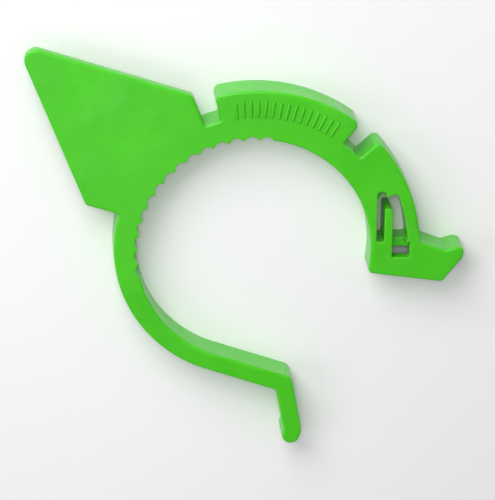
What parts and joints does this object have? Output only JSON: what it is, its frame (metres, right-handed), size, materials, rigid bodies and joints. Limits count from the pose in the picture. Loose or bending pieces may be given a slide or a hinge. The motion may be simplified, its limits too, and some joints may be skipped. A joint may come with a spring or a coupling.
{
  "type": "loose wheel nut indicator",
  "caption": "Open moulded plastic ring that springs round a wheel nut, with a flat pointer plate, hinge notches, a latch block with tongue and hooked lug, and a strap with a bent end.",
  "frame": {"origin": "ring's axis at the back face, the face that lies on the wheel", "axes": "+Z along the ring's axis towards the front face, +X away from the pointer's tip, +Y towards the two blocks"},
  "size_m": [0.0904, 0.057, 0.007],
  "materials": {
    "green_plastic": "bright green moulded plastic, smooth with a soft gloss"
  },
  "bodies": {
    "root": {"wheel_nut_indicator": "green_plastic"}
  },
  "joints": []
}
